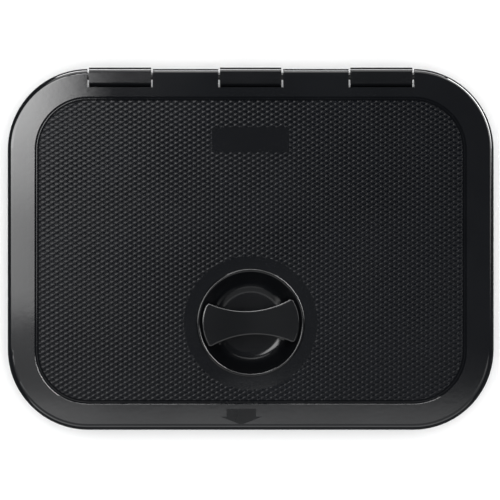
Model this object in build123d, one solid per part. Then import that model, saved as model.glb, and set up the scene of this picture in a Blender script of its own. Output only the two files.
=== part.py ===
from build123d import *

import math
import os

# A plastic deck hatch with a turn latch. Millimetres. +Z is up out of the deck, +Y points to the
# hinge side and +X to the right. The origin is the middle of the frame's outline on its underside,
# which is the plane of the deck.

# --- Frame moulding -------------------------------------------------------------------------------
FRAME_WIDTH = 375.0
FRAME_DEPTH = 278.2
FRAME_CORNER = 62.0
FLANGE_THICK = 2.5
FLANGE_EDGE_BEVEL = 0.7
COLLAR_WIDTH = 314.0
COLLAR_DEPTH = 217.0
COLLAR_CORNER = 34.0
COLLAR_WALL = 3.0
COLLAR_BELOW = 24.0
UPSTAND_TOP = 6.0
UPSTAND_EDGE_ROUND = 0.8

# --- Deck screws ----------------------------------------------------------------------------------
SCREW_HOLE_R = 2.4
SCREW_SINK_R = 4.4
SCREW_SINK_DEEP = 1.4
CORNER_SCREW_X = 158.0
CORNER_SCREW_Y = 110.0
LONG_SIDE_SCREW_X = 70.0
LONG_SIDE_SCREW_Y = 117.0
SHORT_SIDE_SCREW_X = 172.5

# --- Hinge ----------------------------------------------------------------------------------------
HINGE_Y = 133.6
HINGE_Z = 8.0
KNUCKLE_TOP = 14.6
KNUCKLE_BACK_Y = 140.2
KNUCKLE_BACK_ROUND = 4.4
KNUCKLE_SWING_R = 8.3
PIN_R = 2.75
PIN_BORE_R = 2.80
MIDDLE_KNUCKLE_END = 23.65
OUTER_KNUCKLE_START = 76.85
OUTER_KNUCKLE_END = 124.55
HINGE_GAP = 1.4
KNUCKLE_WEB = 3.0
FLANGE_NOTCH_Y = 124.8
FLANGE_NOTCH_END = 151.6
LID_NOTCH_Y = 125.0
LID_BARREL_R = 5.5
BOSS_END = 148.0
PIN_START = 2.0
PIN_END = 142.0
PIN_TIP_CHAMFER = 0.6
PLUG_START = 142.5
PLUG_END = 158.0
PLUG_INSET = 0.3

# --- Lid moulding ---------------------------------------------------------------------------------
LID_SHOW = 0.8
LID_TOP = 14.0
LID_BOTTOM = 3.0
LID_PLATE_UNDER = 11.0
LID_SKIRT = 2.5
LID_EDGE_ROUND = 4.0
PANEL_WIDTH = 326.4
PANEL_DEPTH = 230.4
PANEL_CORNER = 38.0
PANEL_Y = -0.6
PANEL_TOP = 13.4
GROOVE_WIDTH = 3.3
GROOVE_FLOOR = 12.3
GROOVE_BEVEL = 1.5
LABEL_WIDTH = 59.4
LABEL_DEPTH = 19.7
LABEL_CORNER = 1.5
LABEL_Y = 84.5
LABEL_DEEP = 0.3
ARROW_X = -7.2
ARROW_SHAFT_WIDTH = 22.8
ARROW_HEAD_WIDTH = 32.0
ARROW_BACK_Y = -122.6
ARROW_HEAD_Y = -128.6
ARROW_TIP_Y = -135.0
ARROW_DEEP = 0.25
RIB_THICK = 1.8
RIB_BOTTOM = 6.8
RIBS_ALONG_Y = [55.0, 110.0]
RIBS_ALONG_X = [5.0, 55.0]

# --- Lid gasket -----------------------------------------------------------------------------------
GASKET_WIDTH = 6.0
GASKET_BOTTOM = 6.3
GASKET_LIP_ROUND = 2.4
CHANNEL_WALL = 2.0
CHANNEL_BOTTOM = 8.0

# --- Turn latch -----------------------------------------------------------------------------------
LATCH_Y = -56.5
LATCH_REST_TURN = 3.0
LATCH_TRAVEL = 93.0
BEAD_R = 40.4
BEAD_ROUND = 1.3
BEAD_TOP = 14.7
HOUSING_OUTER_R = 40.4
HOUSING_THREAD_BOTTOM = 6.0
HOUSING_LEDGE_Z = 13.0
HOUSING_HOLE_R = 40.5
HOUSING_SINK_R = 42.0
HOUSING_SINK_FLOOR = 12.4
BOWL_R = 38.9
BOWL_WALL_TOP = 12.9
BOWL_FOOT_R = 29.3
BOWL_FOOT_ROUND = 11.0
BOWL_FLOOR = -2.5
HOUSING_FOOT_R = 15.0
HOUSING_UNDER = -5.5
NUT_OUTER_R = 44.5
NUT_BOTTOM = 7.0
NUT_GRIPS = 12
NUT_GRIP_R = 2.5
GRIP_END_R = 37.7
GRIP_CORNER_X = 32.8
GRIP_CORNER_Y = 17.6
GRIP_WAIST = 18.6
GRIP_CORNER_ROUND = 3.0
GRIP_EDGE_ROUND = 1.4
GRIP_TOP = 14.0
GRIP_WALL = 2.5
GRIP_SIDE_GAP = 1.0
GRIP_FLOOR_GAP = 0.6
GRIP_CORE_R = 9.0
SPINDLE_R = 5.5
SPINDLE_BORE_R = 5.55
SPINDLE_ROUND_END = -7.6
SPINDLE_SQUARE = 7.6
SPINDLE_SQUARE_END = -11.4
ORING_R = 0.9
ORING_Z = -4.0
ORING_GROOVE = 2.0
SPRING_WASHER_TOP = -5.6
SPRING_WASHER_THICK = 0.4
THRUST_WASHER_TOP = -6.5
WASHER_OUTER_R = 8.6
TONGUE_TOP = -7.6
TONGUE_BOTTOM = -11.6
TONGUE_REACH = 45.5
TONGUE_WIDTH = 16.0
TONGUE_HUB_R = 14.0
TONGUE_BEVEL = 1.6
TONGUE_SQUARE = 7.8
STOP_PIN_R = 1.5
STOP_PIN_ORBIT = 10.5
STOP_PIN_TOP = -3.8
STOP_PIN_BOTTOM = -11.0
STOP_PIN_ANGLE = 130.0
STOP_SLOT_PLAY = 0.35
CLAMP_WASHER_R = 7.0
CLAMP_WASHER_THICK = 1.0
LATCH_SCREW_R = 2.0
LATCH_SCREW_TOP = -2.4
LATCH_SCREW_HEAD_R = 4.0
LATCH_SCREW_HEAD = 2.4

# --- Keeper on the collar's front wall ------------------------------------------------------------
KEEPER_WIDTH = 34.0
KEEPER_THICK = 1.5
KEEPER_REACH = 9.5
KEEPER_UNDER = -7.3
KEEPER_TOP = 4.0
KEEPER_BEND_ROUND = 1.4
KEEPER_SCREW_X = 11.0
KEEPER_SCREW_Z = -2.2
KEEPER_SCREW_R = 1.5
KEEPER_SCREW_LONG = 4.4
KEEPER_SCREW_HEAD_R = 2.8
KEEPER_SCREW_HEAD = 1.6
RECESS_R = 1.5
RECESS_DEEP = 1.0

# --- Worked out from the above --------------------------------------------------------------------
LID_WIDTH = FRAME_WIDTH - 2 * LID_SHOW
LID_DEPTH = FRAME_DEPTH - LID_SHOW
LID_CORNER = FRAME_CORNER - LID_SHOW
LID_Y = LID_SHOW / 2
LID_HINGE_EDGE = LID_Y + LID_DEPTH / 2
OPENING_WIDTH = COLLAR_WIDTH - 2 * COLLAR_WALL
OPENING_DEPTH = COLLAR_DEPTH - 2 * COLLAR_WALL
OPENING_CORNER = COLLAR_CORNER - COLLAR_WALL
FRONT_WALL_Y = -OPENING_DEPTH / 2
SEAL_WIDTH = COLLAR_WIDTH - COLLAR_WALL
SEAL_DEPTH = COLLAR_DEPTH - COLLAR_WALL
SEAL_CORNER = COLLAR_CORNER - COLLAR_WALL / 2
LID_BARREL_START = MIDDLE_KNUCKLE_END + HINGE_GAP
LID_BARREL_END = OUTER_KNUCKLE_START - HINGE_GAP
LID_BOSS_START = OUTER_KNUCKLE_END + HINGE_GAP
BEYOND = 20.0

# How far a cutting shape runs past the face that it cuts.
OVER = 1.0


def block(x_from, x_to, y_from, y_to, z_from, z_to):
    """A box between two corners."""
    size = Box(x_to - x_from, y_to - y_from, z_to - z_from)
    return Pos((x_from + x_to) / 2, (y_from + y_to) / 2, (z_from + z_to) / 2) * size


def slab(width, depth, corner, z_from, z_to, y=0.0):
    """A plate with rounded corners, centred on X = 0."""
    return Pos(0, y, z_from) * extrude(RectangleRounded(width, depth, corner), z_to - z_from)


def ring_slab(width, depth, corner, half_thick, z_from, z_to):
    """A wall of twice half_thick that follows a rounded rectangle."""
    more = 2 * half_thick
    outer = slab(width + more, depth + more, corner + half_thick, z_from, z_to)
    inner = slab(width - more, depth - more, corner - half_thick, z_from - OVER, z_to + OVER)
    return outer - inner


def rod_x(radius, x_from, x_to):
    """A cylinder on the hinge axis."""
    rod = Cylinder(radius, x_to - x_from)
    return Pos((x_from + x_to) / 2, HINGE_Y, HINGE_Z) * Rot(0, 90, 0) * rod


def disc(radius, z_from, z_to):
    """A cylinder on the Z axis."""
    return Pos(0, 0, (z_from + z_to) / 2) * Cylinder(radius, z_to - z_from)


def washer(outer_r, inner_r, z_from, z_to):
    """A flat ring on the Z axis."""
    return disc(outer_r, z_from, z_to) - disc(inner_r, z_from - OVER, z_to + OVER)


def at_latch(shape):
    """Moves a piece drawn about the Z axis to the latch's axis."""
    return Pos(0, LATCH_Y, 0) * shape


def both_sides(shape):
    """A shape and its mirror image across X = 0."""
    return shape + mirror(shape, Plane.YZ)


def spun(profile_edges):
    """Turns a closed outline of (radius, height) edges about the Z axis."""
    return revolve(Plane.XZ * make_face(Curve() + profile_edges), Axis.Z)


# --- Frame ----------------------------------------------------------------------------------------
def screw_places():
    """The ten deck screw positions."""
    places = []
    for side in (-1, 1):
        for end in (-1, 1):
            places.append((side * CORNER_SCREW_X, end * CORNER_SCREW_Y))
            places.append((side * LONG_SIDE_SCREW_X, end * LONG_SIDE_SCREW_Y))
        places.append((side * SHORT_SIDE_SCREW_X, 0))
    return places


def screw_hole():
    """A countersunk through hole in the flange."""
    sink = Pos(0, 0, FLANGE_THICK - SCREW_SINK_DEEP / 2) * Cone(SCREW_HOLE_R, SCREW_SINK_R, SCREW_SINK_DEEP)
    return disc(SCREW_HOLE_R, -OVER, FLANGE_THICK + OVER) + sink


def knuckle(x_from, x_to):
    """A frame hinge knuckle: flat on top, rounded behind, and round about the pin where the lid swings."""
    near = HINGE_Y - KNUCKLE_SWING_R
    web = FLANGE_NOTCH_Y - KNUCKLE_WEB
    round_y = KNUCKLE_BACK_Y - KNUCKLE_BACK_ROUND
    round_z = KNUCKLE_TOP - KNUCKLE_BACK_ROUND
    start = 180 - math.degrees(math.asin((KNUCKLE_TOP - HINGE_Z) / KNUCKLE_SWING_R))
    swing = CenterArc((HINGE_Y, HINGE_Z), KNUCKLE_SWING_R, start, 180 - start)
    back = CenterArc((round_y, round_z), KNUCKLE_BACK_ROUND, 0, 90)
    top = Line(back @ 1, swing @ 0)
    front = Polyline(swing @ 1, (near, FLANGE_THICK), (web, FLANGE_THICK), (web, 0))
    foot = Polyline((web, 0), (KNUCKLE_BACK_Y, 0), back @ 0)
    profile = Plane.YZ * make_face(Curve() + [swing, front, foot, back, top])
    return Pos(x_from, 0, 0) * extrude(profile, x_to - x_from)


def keeper_screw_holes():
    """Pilot holes for the keeper's screws, through the keeper and the front wall."""
    holes = Part()
    for x in (-KEEPER_SCREW_X, KEEPER_SCREW_X):
        hole = Cylinder(KEEPER_SCREW_R, 3 * COLLAR_WALL)
        holes += Pos(x, FRONT_WALL_Y - COLLAR_WALL / 2, KEEPER_SCREW_Z) * Rot(90, 0, 0) * hole
    return holes


def deck_frame():
    flange = slab(FRAME_WIDTH, FRAME_DEPTH, FRAME_CORNER, 0, FLANGE_THICK)
    flange = chamfer(flange.edges().group_by(Axis.Z)[-1], FLANGE_EDGE_BEVEL)
    for x_from, x_to in ((MIDDLE_KNUCKLE_END, OUTER_KNUCKLE_START), (OUTER_KNUCKLE_END, FLANGE_NOTCH_END)):
        notch = block(x_from, x_to, FLANGE_NOTCH_Y, FRAME_DEPTH, -OVER, FLANGE_THICK + OVER)
        flange -= both_sides(notch)
    collar = slab(COLLAR_WIDTH, COLLAR_DEPTH, COLLAR_CORNER, -COLLAR_BELOW, UPSTAND_TOP)
    collar = fillet(collar.edges().group_by(Axis.Z)[-1], UPSTAND_EDGE_ROUND)
    body = flange + collar + knuckle(-MIDDLE_KNUCKLE_END, MIDDLE_KNUCKLE_END)
    body += both_sides(knuckle(OUTER_KNUCKLE_START, OUTER_KNUCKLE_END))
    body -= slab(OPENING_WIDTH, OPENING_DEPTH, OPENING_CORNER, -COLLAR_BELOW - OVER, UPSTAND_TOP + OVER)
    body -= rod_x(PIN_BORE_R, -FRAME_WIDTH / 2, FRAME_WIDTH / 2)
    for x, y in screw_places():
        body -= Pos(x, y, 0) * screw_hole()
    return body - keeper_screw_holes()


def latch_keeper():
    """A bent plate whose ledge the tongue turns under."""
    half = KEEPER_WIDTH / 2
    seat = FRONT_WALL_Y
    upright = block(-half, half, seat, seat + KEEPER_THICK, KEEPER_UNDER, KEEPER_TOP)
    ledge = block(-half, half, seat, seat + KEEPER_REACH, KEEPER_UNDER, KEEPER_UNDER + KEEPER_THICK)
    profile = section(upright + ledge, Plane.YZ)
    bend = profile.vertices().sort_by_distance((0, seat, KEEPER_UNDER))[0]
    profile = fillet(bend, KEEPER_BEND_ROUND)
    plate = extrude(profile, half, both=True)
    return plate - keeper_screw_holes()


def keeper_screws():
    """Two short pan-head screws with a round drive recess."""
    screws = Part()
    seat_y = FRONT_WALL_Y + KEEPER_THICK
    for x in (-KEEPER_SCREW_X, KEEPER_SCREW_X):
        shank = Pos(0, 0, -KEEPER_SCREW_LONG / 2) * Cylinder(KEEPER_SCREW_R, KEEPER_SCREW_LONG)
        head = Pos(0, 0, KEEPER_SCREW_HEAD / 2) * Cylinder(KEEPER_SCREW_HEAD_R, KEEPER_SCREW_HEAD)
        head = fillet(head.edges().group_by(Axis.Z)[-1], KEEPER_SCREW_HEAD / 2)
        recess = Pos(0, 0, KEEPER_SCREW_HEAD) * Cylinder(RECESS_R, 2 * RECESS_DEEP)
        screw = shank + head - recess
        screws += Pos(x, seat_y, KEEPER_SCREW_Z) * Rot(-90, 0, 0) * screw
    return screws


# --- Lid ------------------------------------------------------------------------------------------
def lid_shell():
    """The lid's top plate and skirt, before the hinge is cut into its edge."""
    shell = slab(LID_WIDTH, LID_DEPTH, LID_CORNER, LID_BOTTOM, LID_TOP, LID_Y)
    shell = fillet(shell.edges().group_by(Axis.Z)[-1], LID_EDGE_ROUND)
    inside_width = LID_WIDTH - 2 * LID_SKIRT
    inside_depth = LID_DEPTH - 2 * LID_SKIRT
    inside_corner = LID_CORNER - LID_SKIRT
    return shell - slab(inside_width, inside_depth, inside_corner, 0, LID_PLATE_UNDER, LID_Y)


def rim_groove():
    """The bevelled groove between the flat rim and the tread panel, and the panel's small step down."""
    wide = PANEL_WIDTH + 2 * GROOVE_WIDTH
    deep = PANEL_DEPTH + 2 * GROOVE_WIDTH
    high = LID_TOP + OVER
    outer = slab(wide, deep, PANEL_CORNER + GROOVE_WIDTH, GROOVE_FLOOR, high, PANEL_Y)
    panel = slab(PANEL_WIDTH, PANEL_DEPTH, PANEL_CORNER, GROOVE_FLOOR - OVER, high + OVER, PANEL_Y)
    groove = outer - panel
    groove = chamfer(groove.edges().group_by(Axis.Z)[0], GROOVE_BEVEL)
    return groove + slab(PANEL_WIDTH, PANEL_DEPTH, PANEL_CORNER, PANEL_TOP, high, PANEL_Y)


def label_recess():
    """The blank label field near the hinge."""
    return slab(LABEL_WIDTH, LABEL_DEPTH, LABEL_CORNER, PANEL_TOP - LABEL_DEEP, LID_TOP + OVER, LABEL_Y)


def arrow_recess():
    """A shallow arrow on the front rim that points to the front edge."""
    half_shaft = ARROW_SHAFT_WIDTH / 2
    half_head = ARROW_HEAD_WIDTH / 2
    outline = Polygon(
        (-half_shaft, ARROW_BACK_Y),
        (-half_shaft, ARROW_HEAD_Y),
        (-half_head, ARROW_HEAD_Y),
        (0, ARROW_TIP_Y),
        (half_head, ARROW_HEAD_Y),
        (half_shaft, ARROW_HEAD_Y),
        (half_shaft, ARROW_BACK_Y),
        align=None,
    )
    return Pos(ARROW_X, 0, LID_TOP - ARROW_DEEP) * extrude(outline, 1)


def lid_hinge():
    """The material that the lid's edge has around the pins."""
    wall = block(-BOSS_END, BOSS_END, LID_NOTCH_Y - LID_SKIRT, LID_NOTCH_Y, LID_BOTTOM, LID_PLATE_UNDER)
    solid = wall
    for x_from, x_to in ((LID_BARREL_START, LID_BARREL_END), (LID_BOSS_START, BOSS_END)):
        barrel = rod_x(LID_BARREL_R, x_from, x_to)
        near = HINGE_Y - LID_BARREL_R
        far = HINGE_Y + LID_BARREL_R - LID_SKIRT
        filler = block(x_from, x_to, near, far, HINGE_Z, LID_PLATE_UNDER)
        solid += both_sides(barrel + filler)
    outline = slab(LID_WIDTH, LID_DEPTH, LID_CORNER, 0, LID_PLATE_UNDER, LID_Y)
    return solid & outline


def stiffening_ribs():
    """Ribs under the panel, inside the gasket channel and clear of the latch."""
    edge_x = SEAL_WIDTH / 2 - GASKET_WIDTH / 2
    edge_y = SEAL_DEPTH / 2 - GASKET_WIDTH / 2
    half = RIB_THICK / 2
    ribs = Part()
    for x in RIBS_ALONG_Y:
        ribs += both_sides(block(x - half, x + half, -edge_y, edge_y, RIB_BOTTOM, LID_PLATE_UNDER))
    for y in RIBS_ALONG_X:
        ribs += block(-edge_x, edge_x, y - half, y + half, RIB_BOTTOM, LID_PLATE_UNDER)
    return ribs


def gasket_channel():
    """The two walls that hold the gasket."""
    half = GASKET_WIDTH / 2
    low = CHANNEL_BOTTOM
    walls = ring_slab(SEAL_WIDTH, SEAL_DEPTH, SEAL_CORNER, half + CHANNEL_WALL, low, LID_PLATE_UNDER)
    return walls - ring_slab(SEAL_WIDTH, SEAL_DEPTH, SEAL_CORNER, half, low - OVER, LID_PLATE_UNDER)


def lid():
    body = lid_shell() + stiffening_ribs() + gasket_channel() + lid_hinge()
    body -= rim_groove() + label_recess()
    body -= arrow_recess()
    middle = block(-LID_BARREL_START, LID_BARREL_START, LID_NOTCH_Y, LID_DEPTH, 0, LID_TOP + OVER)
    outer = block(LID_BARREL_END, LID_BOSS_START, LID_NOTCH_Y, LID_DEPTH, 0, LID_TOP + OVER)
    body -= middle
    body -= both_sides(outer)
    body -= rod_x(PIN_R, -LID_WIDTH / 2, LID_WIDTH / 2)
    body -= at_latch(disc(HOUSING_HOLE_R, 0, LID_TOP + OVER))
    return body - at_latch(disc(HOUSING_SINK_R, HOUSING_SINK_FLOOR, LID_TOP + OVER))


def lid_gasket():
    seal = ring_slab(SEAL_WIDTH, SEAL_DEPTH, SEAL_CORNER, GASKET_WIDTH / 2, GASKET_BOTTOM, LID_PLATE_UNDER)
    return fillet(seal.edges().group_by(Axis.Z)[0], GASKET_LIP_ROUND)


def hinge_pin_right():
    pin = rod_x(PIN_R, PIN_START, PIN_END)
    return chamfer(pin.edges().group_by(Axis.X)[0], PIN_TIP_CHAMFER)


def hinge_pin_left():
    return mirror(hinge_pin_right(), Plane.YZ)


def hinge_pin_plugs():
    """Caps for the pin bores, cut a little below the lid's rounded corners."""
    trim = 2 * PLUG_INSET
    outline = slab(LID_WIDTH - trim, LID_DEPTH - trim, LID_CORNER - PLUG_INSET, 0, LID_TOP, LID_Y)
    return both_sides(rod_x(PIN_R, PLUG_START, PLUG_END)) & outline


# --- Latch ----------------------------------------------------------------------------------------
def bowl_wall(inner_r, side_gap, floor_gap):
    """The bowl from a radius on its flat floor up its sloping side, made smaller by the two gaps."""
    floor = BOWL_FLOOR + floor_gap
    foot = (BOWL_FOOT_R - side_gap, floor)
    top = (BOWL_R - side_gap, BOWL_WALL_TOP + floor_gap)
    return FilletPolyline((inner_r, floor), foot, top, radius=BOWL_FOOT_ROUND)


def latch_housing():
    """The fixed bowl with its raised bead, drawn as one turned outline."""
    bead_side = BEAD_TOP - BEAD_ROUND
    inner = bowl_wall(SPINDLE_BORE_R, 0, 0)
    foot_width = HOUSING_OUTER_R - HOUSING_FOOT_R
    foot_height = HOUSING_THREAD_BOTTOM - HOUSING_UNDER
    foot = (HOUSING_FOOT_R, HOUSING_THREAD_BOTTOM)
    outer = EllipticalCenterArc(foot, foot_width, foot_height, -90, arc_size=90)
    bead_outer = BEAD_R + BEAD_ROUND
    bead = ThreePointArc((bead_outer, bead_side), (BEAD_R, BEAD_TOP), (BEAD_R - BEAD_ROUND, bead_side))
    inside = Line(bead @ 1, inner @ 1)
    ledge = (HOUSING_OUTER_R, HOUSING_LEDGE_Z)
    outside = Polyline(outer @ 1, ledge, (bead_outer, HOUSING_LEDGE_Z), bead @ 0)
    floor = Polyline(inner @ 0, (SPINDLE_BORE_R, HOUSING_UNDER), outer @ 0)
    housing = spun([inner, inside, bead, outside, outer, floor])
    return at_latch(housing - stop_pin_shape())


def housing_seal():
    return at_latch(washer(BEAD_R + BEAD_ROUND, HOUSING_OUTER_R, HOUSING_SINK_FLOOR, HOUSING_LEDGE_Z))


def housing_nut():
    """The ring nut under the lid, with finger notches round its edge."""
    nut = washer(NUT_OUTER_R, HOUSING_OUTER_R, NUT_BOTTOM, LID_PLATE_UNDER)
    notch = Pos(NUT_OUTER_R + NUT_GRIP_R / 2, 0, 0) * disc(NUT_GRIP_R, 0, BEYOND)
    for index in range(NUT_GRIPS):
        nut -= Rot(0, 0, 360 * index / NUT_GRIPS) * notch
    return at_latch(nut)


def stop_pin_shape():
    pin = disc(STOP_PIN_R, STOP_PIN_BOTTOM, STOP_PIN_TOP)
    return Rot(0, 0, STOP_PIN_ANGLE) * Pos(STOP_PIN_ORBIT, 0, 0) * pin


def stop_pin():
    return at_latch(stop_pin_shape())


def grip_outline(corner_round):
    """The bow-tie: round ends on one circle and hollow sides."""
    x = GRIP_CORNER_X
    y = GRIP_CORNER_Y
    waist = GRIP_WAIST / 2
    edges = [
        ThreePointArc((-x, y), (0, waist), (x, y)),
        ThreePointArc((x, y), (GRIP_END_R, 0), (x, -y)),
        ThreePointArc((x, -y), (0, -waist), (-x, -y)),
        ThreePointArc((-x, -y), (-GRIP_END_R, 0), (-x, y)),
    ]
    face = make_face(Curve() + edges)
    return fillet(face.vertices(), corner_round)


def grip_room():
    """The inside of the bowl less the grip's running gaps."""
    wall = bowl_wall(0, GRIP_SIDE_GAP, GRIP_FLOOR_GAP)
    side = (wall @ 1).X
    top = BOWL_WALL_TOP + BEYOND
    rest = Polyline(wall @ 1, (side, top), (0, top), wall @ 0)
    return spun([wall, rest])


def latch_grip():
    """The grip, hollow underneath, with its spindle."""
    outline = grip_outline(GRIP_CORNER_ROUND)
    low = BOWL_FLOOR
    grip = Pos(0, 0, low) * extrude(outline, GRIP_TOP - low)
    grip = fillet(grip.edges().group_by(Axis.Z)[-1], GRIP_EDGE_ROUND)
    hollow = Pos(0, 0, low) * extrude(offset(outline, -GRIP_WALL), GRIP_TOP - GRIP_WALL - low)
    grip = (grip - hollow + disc(GRIP_CORE_R, low, GRIP_TOP - GRIP_WALL)) & grip_room()
    half = SPINDLE_SQUARE / 2
    spindle = disc(SPINDLE_R, SPINDLE_ROUND_END, low + GRIP_FLOOR_GAP + OVER)
    square = block(-half, half, -half, half, SPINDLE_SQUARE_END, SPINDLE_ROUND_END)
    groove_low = ORING_Z - ORING_GROOVE / 2
    groove = washer(SPINDLE_R + OVER, SPINDLE_R - 2 * ORING_R, groove_low, groove_low + ORING_GROOVE)
    thread = disc(LATCH_SCREW_R, SPINDLE_SQUARE_END - OVER, LATCH_SCREW_TOP)
    return at_rest_turn(grip + spindle + square - groove - thread)


def at_rest_turn(shape):
    """Turns a latch piece to the angle at which it is stored, on the latch's axis."""
    return at_latch(Rot(0, 0, LATCH_REST_TURN) * shape)


def spindle_oring():
    return at_latch(Pos(0, 0, ORING_Z) * Torus(SPINDLE_R - ORING_R, ORING_R))


def spring_washer():
    """A conical disc spring."""
    low = THRUST_WASHER_TOP
    high = SPRING_WASHER_TOP
    corners = [
        (SPINDLE_BORE_R, high - SPRING_WASHER_THICK),
        (SPINDLE_BORE_R, high),
        (WASHER_OUTER_R, low + SPRING_WASHER_THICK),
        (WASHER_OUTER_R, low),
    ]
    return at_latch(spun([Polyline(*corners, close=True)]))


def thrust_washer():
    return at_latch(washer(WASHER_OUTER_R, SPINDLE_R, TONGUE_TOP, THRUST_WASHER_TOP))


def stop_slot():
    """The arc slot in the tongue's hub that the stop pin runs in."""
    half = STOP_PIN_R + STOP_SLOT_PLAY
    band = washer(STOP_PIN_ORBIT + half, STOP_PIN_ORBIT - half, TONGUE_BOTTOM - OVER, TONGUE_TOP + OVER)
    start = STOP_PIN_ANGLE - LATCH_REST_TURN
    wedge = extrude(Polygon(*fan(start, start + LATCH_TRAVEL), align=None), BEYOND)
    slot = band & (Pos(0, 0, TONGUE_BOTTOM - OVER) * wedge)
    for angle in (start, start + LATCH_TRAVEL):
        end = Pos(STOP_PIN_ORBIT, 0, 0) * disc(half, TONGUE_BOTTOM - OVER, TONGUE_TOP + OVER)
        slot += Rot(0, 0, angle) * end
    return slot


def fan(start, end):
    """The corners of a flat wedge from the axis between two angles under a half turn apart."""
    rim = Vector(4 * STOP_PIN_ORBIT, 0, 0)
    angles = (start, (start + end) / 2, end)
    return [(0, 0)] + [tuple(rim.rotate(Axis.Z, angle))[:2] for angle in angles]


def locking_tongue():
    """The arm on the spindle that turns under the keeper, bevelled on its leading edge."""
    half = TONGUE_WIDTH / 2
    arm = block(0, TONGUE_REACH + OVER, -half, half, TONGUE_BOTTOM, TONGUE_TOP)
    arm &= disc(TONGUE_REACH, TONGUE_BOTTOM, TONGUE_TOP)
    leading = arm.edges().group_by(Axis.Z)[-1].filter_by(Axis.X).sort_by(Axis.Y)[0]
    arm = chamfer(leading, TONGUE_BEVEL)
    square = TONGUE_SQUARE / 2
    hole = block(-square, square, -square, square, TONGUE_BOTTOM - OVER, TONGUE_TOP + OVER)
    tongue = arm + disc(TONGUE_HUB_R, TONGUE_BOTTOM, TONGUE_TOP)
    return at_rest_turn(tongue - hole - stop_slot())


def clamp_washer():
    high = TONGUE_BOTTOM
    return at_latch(washer(CLAMP_WASHER_R, LATCH_SCREW_R, high - CLAMP_WASHER_THICK, high))


def latch_screw():
    """The pan-head screw that holds the tongue on the spindle."""
    seat = TONGUE_BOTTOM - CLAMP_WASHER_THICK
    head = disc(LATCH_SCREW_HEAD_R, seat - LATCH_SCREW_HEAD, seat)
    head = fillet(head.edges().group_by(Axis.Z)[0], LATCH_SCREW_HEAD / 2)
    recess = disc(RECESS_R, seat - LATCH_SCREW_HEAD - OVER, seat - LATCH_SCREW_HEAD + RECESS_DEEP)
    return at_latch(disc(LATCH_SCREW_R, seat, LATCH_SCREW_TOP) + head - recess)


NODES = [
    deck_frame,
    latch_keeper,
    keeper_screws,
    lid,
    lid_gasket,
    hinge_pin_left,
    hinge_pin_right,
    hinge_pin_plugs,
    latch_housing,
    housing_seal,
    housing_nut,
    stop_pin,
    latch_grip,
    spindle_oring,
    spring_washer,
    thrust_washer,
    locking_tongue,
    clamp_washer,
    latch_screw,
]

os.makedirs("parts", exist_ok=True)
for make in NODES:
    export_step(make(), "parts/" + make.__name__ + ".step")
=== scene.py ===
import bpy
import math
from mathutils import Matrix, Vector


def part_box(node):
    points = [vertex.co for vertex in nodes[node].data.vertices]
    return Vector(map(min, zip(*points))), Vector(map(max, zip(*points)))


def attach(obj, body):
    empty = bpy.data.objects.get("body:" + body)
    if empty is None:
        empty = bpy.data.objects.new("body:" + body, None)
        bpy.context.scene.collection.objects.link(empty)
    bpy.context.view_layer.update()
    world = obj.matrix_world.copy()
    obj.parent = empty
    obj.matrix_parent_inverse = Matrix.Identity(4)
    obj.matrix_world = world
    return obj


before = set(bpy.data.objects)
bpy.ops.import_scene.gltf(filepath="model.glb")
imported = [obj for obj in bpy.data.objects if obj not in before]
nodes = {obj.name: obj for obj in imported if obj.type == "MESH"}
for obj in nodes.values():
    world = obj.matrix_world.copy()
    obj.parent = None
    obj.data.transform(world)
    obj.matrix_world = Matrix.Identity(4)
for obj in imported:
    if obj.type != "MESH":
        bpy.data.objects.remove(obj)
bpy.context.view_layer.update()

MM = 0.001

# Places read from the frame, in metres.
LID_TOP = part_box("lid")[1].z
latch_low, latch_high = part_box("latch_housing")
LATCH_X = (latch_low.x + latch_high.x) / 2
LATCH_Y = (latch_low.y + latch_high.y) / 2
FLOOR_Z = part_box("deck_frame")[0].z

# The lid's panel, as the part has it.
PANEL_WIDTH = 326.4 * MM
PANEL_DEPTH = 230.4 * MM
PANEL_CORNER = 38.0 * MM
PANEL_Y = -0.6 * MM
PANEL_TOP = 13.4 * MM
LABEL_WIDTH = 59.4 * MM
LABEL_DEPTH = 19.7 * MM
LABEL_CORNER = 1.5 * MM
LABEL_Y = 84.5 * MM
LATCH_DISC_R = 51.5 * MM
ARROW_X = -7.2 * MM
ARROW_SHAFT_WIDTH = 22.8 * MM
ARROW_HEAD_WIDTH = 32.0 * MM
ARROW_BACK_Y = -122.6 * MM
ARROW_HEAD_Y = -128.6 * MM
ARROW_TIP_Y = -135.0 * MM
ARROW_FLOOR = 13.75 * MM

# The tread: a net of raised ridges round diamond cells.
CELL_WIDTH = 7.0 * MM
CELL_DEPTH = 3.96 * MM
TREAD_SINK = 0.2 * MM
TREAD_FLOOR = PANEL_TOP + 0.05 * MM
TREAD_HEIGHT = 0.38 * MM
# The profile from a ridge's crest to the middle of a cell: share of the way, and share of the height.
RIDGE_PROFILE = [
    (0.0, 1.0),
    (0.07, 0.95),
    (0.14, 0.78),
    (0.21, 0.52),
    (0.28, 0.34),
    (0.42, 0.17),
    (0.62, 0.06),
    (0.82, 0.01),
]
SHARP_ANGLE = math.radians(50)

# The studio. The ceiling's height is over the deck, and the camera's is over the origin.
CEILING = 1.2
FLOOR_HALF = 3.0
FLOOR_CLEAR = 0.2 * MM
WORLD_COLOUR = (0.92, 0.96, 1.0)
WORLD_STRENGTH = 0.10
CAMERA_HEIGHT = 5.0
CAMERA_X = -0.54 * MM
CAMERA_Y = -0.35 * MM
VIEW_WIDTH = 0.385
SENSOR_WIDTH = 36.0


# --- Node helpers ---------------------------------------------------------------------------------
def new_material(name):
    material = bpy.data.materials.new(name)
    material.use_nodes = True
    tree = material.node_tree
    return material, tree, tree.nodes["Principled BSDF"]


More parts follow.
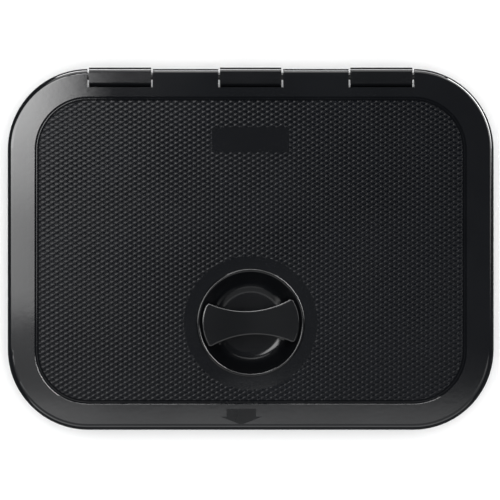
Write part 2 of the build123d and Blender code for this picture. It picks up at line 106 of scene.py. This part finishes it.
def noise(tree, coordinate, scale, detail=4.0, stretch=None):
    """A noise texture on object coordinates, in features per metre, stretched by three factors if given."""
    texture = tree.nodes.new("ShaderNodeTexNoise")
    texture.inputs["Scale"].default_value = scale
    texture.inputs["Detail"].default_value = detail
    source = coordinate
    if stretch:
        mapping = tree.nodes.new("ShaderNodeMapping")
        mapping.inputs["Scale"].default_value = stretch
        tree.links.new(source, mapping.inputs["Vector"])
        source = mapping.outputs["Vector"]
    tree.links.new(source, texture.inputs["Vector"])
    return texture.outputs["Fac"]


def ramp(tree, value, low, high, from_low=0.3, from_high=0.7):
    """Maps a texture value to a range."""
    mapped = tree.nodes.new("ShaderNodeMapRange")
    mapped.inputs["From Min"].default_value = from_low
    mapped.inputs["From Max"].default_value = from_high
    mapped.inputs["To Min"].default_value = low
    mapped.inputs["To Max"].default_value = high
    tree.links.new(value, mapped.inputs["Value"])
    return mapped.outputs["Result"]


def bump(tree, height, distance, strength=1.0, below=None):
    """A bump of a real depth in metres, on top of another one."""
    node = tree.nodes.new("ShaderNodeBump")
    node.inputs["Distance"].default_value = distance
    node.inputs["Strength"].default_value = strength
    tree.links.new(height, node.inputs["Height"])
    if below:
        tree.links.new(below, node.inputs["Normal"])
    return node.outputs["Normal"]


def mix_colour(tree, factor, first, second):
    node = tree.nodes.new("ShaderNodeMix")
    node.data_type = "RGBA"
    node.inputs["A"].default_value = (*first, 1)
    node.inputs["B"].default_value = (*second, 1)
    tree.links.new(factor, node.inputs["Factor"])
    return node.outputs["Result"]


def plastic(name, colour, worn, rough, rough_spread, peel, grain, specular=0.5):
    """Moulded plastic: flow marks in the colour, smudges in the gloss, orange peel and a fine grain."""
    material, tree, shader = new_material(name)
    place = tree.nodes.new("ShaderNodeTexCoord").outputs["Object"]
    tint = ramp(tree, noise(tree, place, 25.0), 0.0, 1.0)
    tree.links.new(mix_colour(tree, tint, colour, worn), shader.inputs["Base Color"])
    smudge = noise(tree, place, 18.0, 6.0)
    gloss = ramp(tree, smudge, rough - rough_spread, rough + rough_spread)
    tree.links.new(gloss, shader.inputs["Roughness"])
    skin = bump(tree, noise(tree, place, 260.0, 2.0), peel)
    skin = bump(tree, noise(tree, place, 4000.0, 3.0), grain, below=skin)
    tree.links.new(skin, shader.inputs["Normal"])
    shader.inputs["IOR"].default_value = 1.5
    shader.inputs["Specular IOR Level"].default_value = specular
    return material


def rubber(name, colour, rough):
    material, tree, shader = new_material(name)
    place = tree.nodes.new("ShaderNodeTexCoord").outputs["Object"]
    dust = ramp(tree, noise(tree, place, 60.0, 5.0), 0.0, 1.0, 0.45, 0.75)
    dusty = tuple(2 * c for c in colour)
    tree.links.new(mix_colour(tree, dust, colour, dusty), shader.inputs["Base Color"])
    gloss = ramp(tree, noise(tree, place, 300.0), rough - 0.08, rough + 0.08)
    tree.links.new(gloss, shader.inputs["Roughness"])
    tree.links.new(bump(tree, noise(tree, place, 2500.0, 4.0), 0.06 * MM), shader.inputs["Normal"])
    return material


def steel(name, colour, rough, grain_along):
    """Stainless steel with a drawn or brushed grain along one axis."""
    material, tree, shader = new_material(name)
    place = tree.nodes.new("ShaderNodeTexCoord").outputs["Object"]
    stretch = [1.0, 1.0, 1.0]
    stretch["XYZ".index(grain_along)] = 0.02
    grain = noise(tree, place, 5000.0, 3.0, stretch)
    tree.links.new(ramp(tree, grain, rough - 0.08, rough + 0.08), shader.inputs["Roughness"])
    stain = ramp(tree, noise(tree, place, 80.0), 0.0, 1.0)
    stained = tuple(0.85 * c for c in colour)
    tree.links.new(mix_colour(tree, stain, colour, stained), shader.inputs["Base Color"])
    tree.links.new(bump(tree, grain, 0.01 * MM), shader.inputs["Normal"])
    shader.inputs["Metallic"].default_value = 1.0
    return material


def paint(name, material):
    """Gives a CAD node its material."""
    slots = nodes[name].data.materials
    slots.clear()
    slots.append(material)


# --- Materials ------------------------------------------------------------------------------------
gloss_black = plastic(
    "lid_gloss_plastic",
    colour=(0.0032, 0.0035, 0.0043), worn=(0.0043, 0.0047, 0.0056),
    rough=0.085, rough_spread=0.02, peel=0.008 * MM, grain=0.0005 * MM,
)
frame_black = plastic(
    "frame_gloss_plastic",
    colour=(0.0032, 0.0034, 0.0040), worn=(0.0042, 0.0045, 0.0052),
    rough=0.12, rough_spread=0.03, peel=0.010 * MM, grain=0.0006 * MM,
)
latch_black = plastic(
    "latch_gloss_plastic",
    colour=(0.0027, 0.0029, 0.0034), worn=(0.0036, 0.0039, 0.0045),
    rough=0.12, rough_spread=0.03, peel=0.008 * MM, grain=0.0006 * MM,
)
# The housing is the grip's black plastic, with its base colour set darker than the grip's as painted shade
# for the sunk bowl.
housing_black_painted_shade = plastic(
    "housing_plastic_painted_shade",
    colour=(0.0024, 0.0026, 0.0031), worn=(0.0033, 0.0036, 0.0042),
    rough=0.15, rough_spread=0.03, peel=0.008 * MM, grain=0.001 * MM, specular=0.30,
)
# The tread is the lid's own black plastic, with its base colour set darker than the lid's as painted shade
# for the hollows between the ridges.
tread_black_painted_shade = plastic(
    "tread_plastic_painted_shade",
    colour=(0.0013, 0.0016, 0.0024), worn=(0.0019, 0.0023, 0.0034),
    rough=0.17, rough_spread=0.04, peel=0.010 * MM, grain=0.002 * MM, specular=0.15,
)
arrow_black = plastic(
    "arrow_plastic",
    colour=(0.0030, 0.0032, 0.0036), worn=(0.0042, 0.0045, 0.0050),
    rough=0.28, rough_spread=0.04, peel=0.010 * MM, grain=0.006 * MM, specular=0.20,
)
pin_black = plastic(
    "pin_plastic",
    colour=(0.0060, 0.0062, 0.0068), worn=(0.0080, 0.0083, 0.0090),
    rough=0.22, rough_spread=0.04, peel=0.006 * MM, grain=0.001 * MM,
)
satin_black = plastic(
    "satin_plastic",
    colour=(0.018, 0.018, 0.019), worn=(0.024, 0.024, 0.025),
    rough=0.38, rough_spread=0.06, peel=0.015 * MM, grain=0.004 * MM,
)
nylon = plastic(
    "natural_nylon",
    colour=(0.60, 0.58, 0.52), worn=(0.66, 0.64, 0.58),
    rough=0.42, rough_spread=0.06, peel=0.012 * MM, grain=0.003 * MM,
)
seal_rubber = rubber("seal_rubber", (0.014, 0.014, 0.014), 0.75)
oring_rubber = rubber("oring_rubber", (0.012, 0.012, 0.012), 0.45)
drawn_steel = steel("drawn_steel", (0.56, 0.57, 0.58), 0.24, "X")
sheet_steel = steel("brushed_sheet_steel", (0.60, 0.61, 0.62), 0.30, "X")
screw_steel = steel("screw_steel", (0.62, 0.62, 0.63), 0.26, "Z")

for node, material in {
    "deck_frame": frame_black,
    "latch_keeper": sheet_steel,
    "keeper_screws": screw_steel,
    "lid": gloss_black,
    "lid_gasket": seal_rubber,
    "hinge_pin_left": pin_black,
    "hinge_pin_right": pin_black,
    "hinge_pin_plugs": gloss_black,
    "latch_housing": housing_black_painted_shade,
    "housing_seal": seal_rubber,
    "housing_nut": satin_black,
    "stop_pin": drawn_steel,
    "latch_grip": latch_black,
    "spindle_oring": oring_rubber,
    "spring_washer": screw_steel,
    "thrust_washer": nylon,
    "locking_tongue": satin_black,
    "clamp_washer": screw_steel,
    "latch_screw": screw_steel,
}.items():
    paint(node, material)


# --- Mesh helpers ---------------------------------------------------------------------------------
def mesh_object(name, vertices, faces):
    mesh = bpy.data.meshes.new(name)
    mesh.from_pydata(vertices, [], faces)
    mesh.update()
    thing = bpy.data.objects.new(name, mesh)
    bpy.context.scene.collection.objects.link(thing)
    return thing


def rounded_outline(width, depth, corner, y, steps=24):
    """The points of a rounded rectangle, anticlockwise."""
    points = []
    for quarter in range(4):
        sign_x = (1, -1, -1, 1)[quarter]
        sign_y = (1, 1, -1, -1)[quarter]
        centre_x = sign_x * (width / 2 - corner)
        centre_y = y + sign_y * (depth / 2 - corner)
        for step in range(steps + 1):
            angle = math.radians(90 * (quarter + step / steps))
            points.append((centre_x + corner * math.cos(angle), centre_y + corner * math.sin(angle)))
    return points


def circle_outline(radius, x, y, steps=128):
    angles = [2 * math.pi * step / steps for step in range(steps)]
    return [(x + radius * math.cos(a), y + radius * math.sin(a)) for a in angles]


def prism(name, outline, low, high):
    """A closed straight-sided solid over an outline."""
    count = len(outline)
    vertices = [(x, y, low) for x, y in outline] + [(x, y, high) for x, y in outline]
    faces = [tuple(reversed(range(count))), tuple(range(count, 2 * count))]
    for index in range(count):
        after = (index + 1) % count
        faces.append((index, after, count + after, count + index))
    return mesh_object(name, vertices, faces)


def cut(thing, tool, operation):
    """Applies a boolean with a closed tool and removes the tool."""
    modifier = thing.modifiers.new("cut", "BOOLEAN")
    modifier.operation = operation
    modifier.solver = "MANIFOLD"
    modifier.object = tool
    graph = bpy.context.evaluated_depsgraph_get()
    mesh = bpy.data.meshes.new_from_object(thing.evaluated_get(graph))
    thing.modifiers.clear()
    thing.data = mesh
    bpy.data.objects.remove(tool)


def smooth(thing, angle=SHARP_ANGLE):
    mesh = thing.data
    mesh.polygons.foreach_set("use_smooth", [True] * len(mesh.polygons))
    mesh.set_sharp_from_angle(angle=angle)


# --- Tread ----------------------------------------------------------------------------------------
def tread_net():
    """A closed slab over the whole panel whose top is the net of ridges."""
    half_w = CELL_WIDTH / 2
    half_d = CELL_DEPTH / 2
    columns = math.ceil(PANEL_WIDTH / 2 / half_w) + 1
    rows = math.ceil(PANEL_DEPTH / 2 / half_d) + 1
    vertices = []
    crossing = {}
    faces = []

    def crossings(i, j):
        """The crest and floor vertices at a ridge crossing."""
        if (i, j) not in crossing:
            x = i * half_w
            y = PANEL_Y + j * half_d
            crossing[i, j] = len(vertices)
            vertices.append((x, y, TREAD_FLOOR + TREAD_HEIGHT))
            vertices.append((x, y, PANEL_TOP - TREAD_SINK))
        return crossing[i, j]

    edges = {}
    for i in range(-columns, columns + 1):
        for j in range(-rows, rows + 1):
            if (i + j) % 2 == 0:
                continue
            x = i * half_w
            y = PANEL_Y + j * half_d
            corners = [(i + 1, j), (i, j + 1), (i - 1, j), (i, j - 1)]
            crest = [crossings(*c) for c in corners]
            ring = crest
            for share, height in RIDGE_PROFILE[1:]:
                inner = []
                for ci, cj in corners:
                    inner.append(len(vertices))
                    px = x + (1 - share) * (ci * half_w - x)
                    py = y + (1 - share) * (PANEL_Y + cj * half_d - y)
                    vertices.append((px, py, TREAD_FLOOR + TREAD_HEIGHT * height))
                for k in range(4):
                    n = (k + 1) % 4
                    faces.append((ring[k], ring[n], inner[n], inner[k]))
                ring = inner
            faces.append(tuple(ring))
            faces.append(tuple(c + 1 for c in reversed(crest)))
            for k in range(4):
                pair = (crest[k], crest[(k + 1) % 4])
                key = tuple(sorted(pair))
                edges[key] = None if key in edges else pair
    for pair in edges.values():
        if pair:
            a, b = pair
            faces.append((b, a, a + 1, b + 1))
    return mesh_object("diamond_tread", vertices, faces)


def make_tread():
    """The tread, cut to the panel and round the latch's disc and the label."""
    tread = tread_net()
    low = PANEL_TOP - 2 * TREAD_SINK
    high = TREAD_FLOOR + 2 * TREAD_HEIGHT
    panel = rounded_outline(PANEL_WIDTH, PANEL_DEPTH, PANEL_CORNER, PANEL_Y)
    cut(tread, prism("panel_tool", panel, low, high), "INTERSECT")
    disc = circle_outline(LATCH_DISC_R, LATCH_X, LATCH_Y)
    cut(tread, prism("disc_tool", disc, low - MM, high + MM), "DIFFERENCE")
    label = rounded_outline(LABEL_WIDTH, LABEL_DEPTH, LABEL_CORNER, LABEL_Y, 6)
    cut(tread, prism("label_tool", label, low - MM, high + MM), "DIFFERENCE")
    smooth(tread)
    tread.data.materials.clear()
    tread.data.materials.append(tread_black_painted_shade)
    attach(tread, "lid")
    return tread


make_tread()


# --- Arrow on the rim -----------------------------------------------------------------------------
def make_arrow():
    """The textured floor of the sunk arrow."""
    clear = 0.05 * MM
    shaft = ARROW_SHAFT_WIDTH / 2 - clear
    head = ARROW_HEAD_WIDTH / 2 - 2 * clear
    outline = [
        (ARROW_X - shaft, ARROW_BACK_Y - clear),
        (ARROW_X - shaft, ARROW_HEAD_Y - clear),
        (ARROW_X - head, ARROW_HEAD_Y - clear),
        (ARROW_X, ARROW_TIP_Y + 2 * clear),
        (ARROW_X + head, ARROW_HEAD_Y - clear),
        (ARROW_X + shaft, ARROW_HEAD_Y - clear),
        (ARROW_X + shaft, ARROW_BACK_Y - clear),
    ]
    arrow = prism("rim_arrow", outline, ARROW_FLOOR - clear, ARROW_FLOOR + clear)
    arrow.data.materials.append(arrow_black)
    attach(arrow, "lid")


make_arrow()


# --- Stage, light and camera ----------------------------------------------------------------------
def make_floor():
    """A pale floor just under the object, left out of the gloss so that its sides stay dark."""
    outline = [
        (-FLOOR_HALF, -FLOOR_HALF),
        (FLOOR_HALF, -FLOOR_HALF),
        (FLOOR_HALF, FLOOR_HALF),
        (-FLOOR_HALF, FLOOR_HALF),
    ]
    floor = mesh_object("floor", [(x, y, FLOOR_Z - FLOOR_CLEAR) for x, y in outline], [(0, 1, 2, 3)])
    material, tree, shader = new_material("pale_floor")
    shader.inputs["Base Color"].default_value = (0.86, 0.86, 0.86, 1)
    shader.inputs["Roughness"].default_value = 0.9
    floor.data.materials.append(material)
    floor.visible_glossy = False


def along(tree, share, stops):
    """A factor that runs between two (share of the side, factor) stops."""
    (start, low), (end, high) = stops
    return ramp(tree, share, low, high, start, end)


def softbox(name, centre, facing, size, radiance, across=((0, 1), (1, 1)), up=((0, 1), (1, 1))):
    """A rectangular area light seen in gloss, whose radiance changes across its width and up its height."""
    width, height = size
    data = bpy.data.lights.new(name, "AREA")
    data.shape = "RECTANGLE"
    data.size = width
    data.size_y = height
    data.energy = radiance * math.pi * width * height
    data.use_nodes = True
    tree = data.node_tree
    split = tree.nodes.new("ShaderNodeSeparateXYZ")
    tree.links.new(tree.nodes.new("ShaderNodeNewGeometry").outputs["Parametric"], split.inputs["Vector"])
    product = tree.nodes.new("ShaderNodeMath")
    product.operation = "MULTIPLY"
    tree.links.new(along(tree, split.outputs["X"], across), product.inputs[0])
    tree.links.new(along(tree, split.outputs["Y"], up), product.inputs[1])
    tree.links.new(product.outputs["Value"], tree.nodes["Emission"].inputs["Strength"])
    light = bpy.data.objects.new(name, data)
    light.location = centre
    light.rotation_euler = Vector(facing).to_track_quat("-Z", "Y").to_euler()
    light.visible_camera = False
    light.visible_diffuse = False
    bpy.context.scene.collection.objects.link(light)
    return light


def ceiling_box(name, x_from, x_to, y_from, y_to, radiance, **fades):
    """A softbox that faces down at the ceiling's height."""
    centre = ((x_from + x_to) / 2, (y_from + y_to) / 2, CEILING)
    return softbox(name, centre, (0, 0, -1), (x_to - x_from, y_to - y_from), radiance, **fades)


def ring_box(name, azimuth, tilt_from, tilt_to, distance, width, radiance, **fades):
    """A softbox on a ring round the object, between two angles from the vertical."""
    azimuth = math.radians(azimuth)
    tilt = math.radians((tilt_from + tilt_to) / 2)
    out = Vector((math.sin(tilt) * math.cos(azimuth), math.sin(tilt) * math.sin(azimuth), math.cos(tilt)))
    height = 2 * distance * math.tan(math.radians((tilt_to - tilt_from) / 2))
    return softbox(name, distance * out, -out, (width, height), radiance, **fades)


def make_light():
    """A key from the left over the hinge side, a grey front, low rear and right strips, and a diffuse top."""
    world = bpy.data.worlds.new("studio")
    world.use_nodes = True
    background = world.node_tree.nodes["Background"]
    background.inputs["Color"].default_value = (*WORLD_COLOUR, 1)
    background.inputs["Strength"].default_value = WORLD_STRENGTH
    bpy.context.scene.world = world
    soft_edge = ((0.975, 1.0), (1.0, 0.3))
    ceiling_box("key_low", -2.2, -0.16, -0.062, 0.03, 1.0, across=soft_edge, up=((0, 4.2), (1, 4.6)))
    ceiling_box("key_middle", -2.2, -0.16, 0.03, 0.14, 1.0, across=soft_edge, up=((0, 4.6), (1, 11.5)))
    ceiling_box("key_high", -2.2, -0.16, 0.14, 0.58, 1.0, across=soft_edge, up=((0, 11.5), (1, 8.0)))
    ceiling_box("key_foot", -2.2, -0.14, -0.147, -0.062, 0.75)
    ceiling_box("front_high", -0.8, 0.8, -0.26, -0.147, 1.0, across=((0.3, 3.9), (0.42, 1.55)))
    ring_box("front_middle", -90, 12, 47, 1.4, 2.4, 0.5)
    ring_box("front_low", -90, 47, 77, 1.4, 2.8, 1.0, across=((0.1, 2.8), (0.45, 1.6)))
    ring_box("fill_top", 90, 76, 89, 1.5, 1.55, 1.0, across=((0.3, 11.0), (0.7, 22.0)))
    ring_box("fill_right", 32, 76, 89, 1.6, 1.75, 1.0, across=((0.0, 12.0), (0.4, 40.0)))
    ring_box("sheen_top", 90, 40, 76, 1.5, 1.55, 1.0, across=((0.3, 1.8), (0.7, 3.0)))
    ring_box("sheen_right", 32, 50, 76, 1.6, 1.75, 1.0, across=((0.0, 3.0), (0.4, 4.0)))
    overhead = softbox("overhead", (0, 0, 2.6), (0, 0, -1), (4.6, 4.6), 3.2)
    overhead.visible_diffuse = True
    overhead.visible_glossy = False


def make_camera():
    """A camera that looks straight down and sees a set width of the lid's top."""
    camera = bpy.data.cameras.new("camera")
    camera.sensor_width = SENSOR_WIDTH
    camera.lens = SENSOR_WIDTH * (CAMERA_HEIGHT - LID_TOP) / VIEW_WIDTH
    camera.clip_end = 4 * CAMERA_HEIGHT
    thing = bpy.data.objects.new("camera", camera)
    thing.location = (CAMERA_X, CAMERA_Y, CAMERA_HEIGHT)
    bpy.context.scene.collection.objects.link(thing)
    bpy.context.scene.camera = thing


make_floor()
make_light()
make_camera()
bpy.context.scene.view_settings.view_transform = "Standard"
